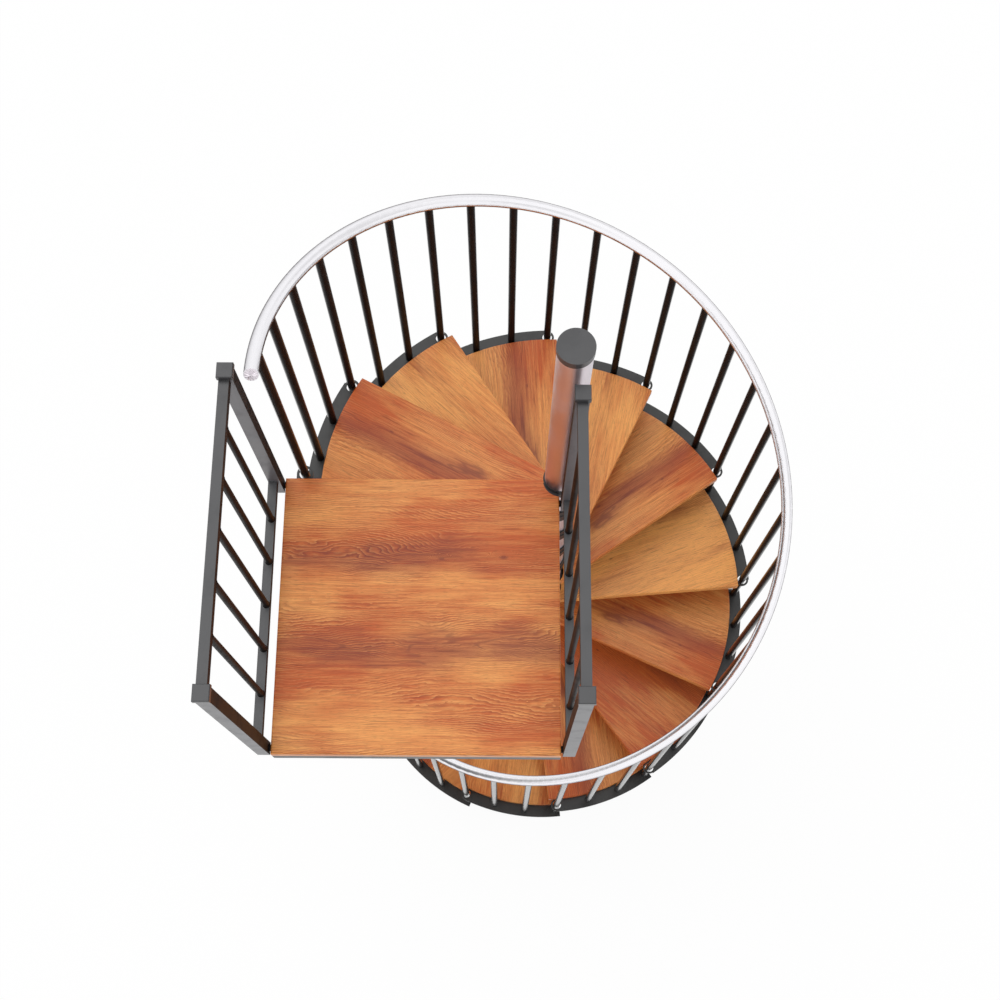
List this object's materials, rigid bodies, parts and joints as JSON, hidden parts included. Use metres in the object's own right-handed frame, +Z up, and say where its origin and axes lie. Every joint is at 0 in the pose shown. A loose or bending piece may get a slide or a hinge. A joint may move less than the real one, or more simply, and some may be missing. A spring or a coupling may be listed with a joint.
{
  "type": "spiral staircase",
  "caption": "Spiral staircase with wedge-shaped wood treads on steel carriers around a central column, a helical handrail and a square landing with railing panels.",
  "frame": {"origin": "centre of the base flange's underside, on the floor and on the column's axis", "axes": "+Z up the column; the landing lies towards -X and -Y with its edges along X and Y; seen from above the stair climbs anticlockwise"},
  "size_m": [1.8099, 1.7789, 3.8824],
  "materials": {
    "dark_paint": "semi-gloss anthracite grey paint on steel",
    "wood": "clear satin varnish on orange-brown hardwood",
    "satin_steel": "satin brushed",
    "silver_rail": "satin silver"
  },
  "bodies": {
    "root": {"base_flange": "dark_paint", "start_baluster_foot": "dark_paint", "landing_frame": "dark_paint", "tread_carrier_01": "dark_paint", "tread_carrier_02": "dark_paint", "tread_carrier_03": "dark_paint", "tread_carrier_04": "dark_paint", "tread_carrier_05": "dark_paint", "tread_carrier_06": "dark_paint", "tread_carrier_07": "dark_paint", "tread_carrier_08": "dark_paint", "tread_carrier_09": "dark_paint", "tread_carrier_10": "dark_paint", "tread_carrier_11": "dark_paint", "short_balusters": "dark_paint", "nosing_balusters": "dark_paint", "left_railing_panel": "dark_paint", "right_railing_panel": "dark_paint", "post_caps": "dark_paint", "post_spacers": "dark_paint", "pole_cap": "dark_paint", "pole_collar": "dark_paint", "tread_01": "wood", "tread_02": "wood", "tread_03": "wood", "tread_04": "wood", "tread_05": "wood", "tread_06": "wood", "tread_07": "wood", "tread_08": "wood", "tread_09": "wood", "tread_10": "wood", "tread_11": "wood", "landing_board": "wood", "column": "satin_steel", "column_sleeves": "satin_steel", "pole_tube": "satin_steel", "handrail": "silver_rail", "handrail_end_caps": "silver_rail"}
  },
  "joints": []
}
